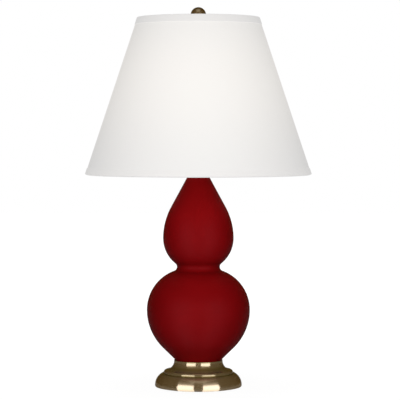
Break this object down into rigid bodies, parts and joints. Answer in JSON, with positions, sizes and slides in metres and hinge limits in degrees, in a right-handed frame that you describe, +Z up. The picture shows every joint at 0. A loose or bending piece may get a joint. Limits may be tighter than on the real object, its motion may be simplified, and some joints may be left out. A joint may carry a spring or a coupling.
{
  "type": "accent table lamp",
  "caption": "Table lamp with a double-gourd glazed ceramic body on a turned brass foot, a harp and an off-white cone shade that lifts off under a ball finial.",
  "frame": {"origin": "on the table, under the middle of the foot", "axes": "+Z up along the lamp's axis, -Y towards the pictured front, the harp in the XZ plane"},
  "size_m": [0.3452, 0.3452, 0.5782],
  "materials": {
    "felt": "pressed felt",
    "antique_brass": "antique brass, lacquered",
    "red_glaze": "satin deep red glaze",
    "cork": "pressed cork and rubber",
    "zinc_steel": "zinc plated",
    "hardware_brass": "brass plated",
    "contact_brass": "bare brass",
    "black_plastic": "moulded",
    "phenolic": "moulded phenolic",
    "kraft_board": "insulating board",
    "shaft_steel": "bare steel",
    "bulb_metal": "bare aluminium",
    "frosted_glass": "frosted",
    "clear_glass": "clear",
    "shade_linen": "off-white woven cloth",
    "shade_tape": "folded cloth tape",
    "styrene": "white styrene sheet"
  },
  "bodies": {
    "stand": {"felt_pad": "felt", "foot": "antique_brass", "cord_bushing": "black_plastic", "foot_gasket": "cork", "gourd": "red_glaze", "pipe": "zinc_steel", "foot_washer": "zinc_steel", "lock_washers": "zinc_steel", "pipe_nuts": "zinc_steel", "neck_gasket": "cork", "vase_cap": "hardware_brass", "neck_collar": "hardware_brass", "saddle": "hardware_brass", "socket_cap": "hardware_brass", "socket_set_screw": "contact_brass", "socket_shell": "hardware_brass", "socket_sleeve": "kraft_board", "socket_body": "phenolic", "screw_shell": "contact_brass", "centre_contact": "contact_brass", "terminal_screws": "contact_brass"},
    "switch": {"switch_shaft": "shaft_steel", "switch_knob": "black_plastic"},
    "bulb": {"bulb_globe": "frosted_glass", "bulb_cap": "bulb_metal", "bulb_insulator": "phenolic", "bulb_contact": "bulb_metal", "bulb_stem": "clear_glass", "bulb_filament": "shaft_steel"},
    "harp": {"harp": "hardware_brass"},
    "ferrule_left": {"harp_ferrule_left": "hardware_brass"},
    "ferrule_right": {"harp_ferrule_right": "hardware_brass"},
    "swivel": {"harp_stud": "hardware_brass"},
    "shade": {"spider_hub": "hardware_brass", "spider_arms": "hardware_brass", "shade_bottom_ring": "zinc_steel", "shade_top_ring": "zinc_steel", "shade_lining": "styrene", "shade_fabric": "shade_linen", "shade_bottom_trim": "shade_tape", "shade_top_trim": "shade_tape"},
    "finial": {"finial": "antique_brass"}
  },
  "joints": [
    {"name": "switch_turn", "type": "hinge", "parent": "stand", "child": "switch", "pos_m": [0, -0.0262, 0.3739], "axis": [0, -1, 0], "continuous": true},
    {"name": "bulb_lift", "type": "slide", "parent": "stand", "child": "bulb", "axis": [0, 0, 1], "range_m": [0, 0.026]},
    {"name": "harp_lift", "type": "slide", "parent": "stand", "child": "harp", "axis": [0, 0, 1], "range_m": [0, 0.03]},
    {"name": "ferrule_left_slide", "type": "slide", "parent": "harp", "child": "ferrule_left", "axis": [0, 0, 1], "range_m": [0, 0.02]},
    {"name": "ferrule_right_slide", "type": "slide", "parent": "harp", "child": "ferrule_right", "axis": [0, 0, 1], "range_m": [0, 0.02]},
    {"name": "shade_swivel", "type": "hinge", "parent": "harp", "child": "swivel", "pos_m": [0, 0, 0.5432], "axis": [0, 0, 1], "continuous": true},
    {"name": "shade_lift", "type": "slide", "parent": "swivel", "child": "shade", "axis": [0, 0, 1], "range_m": [0, 0.25]},
    {"name": "finial_lift", "type": "slide", "parent": "shade", "child": "finial", "axis": [0, 0, 1], "range_m": [0, 0.02]}
  ]
}
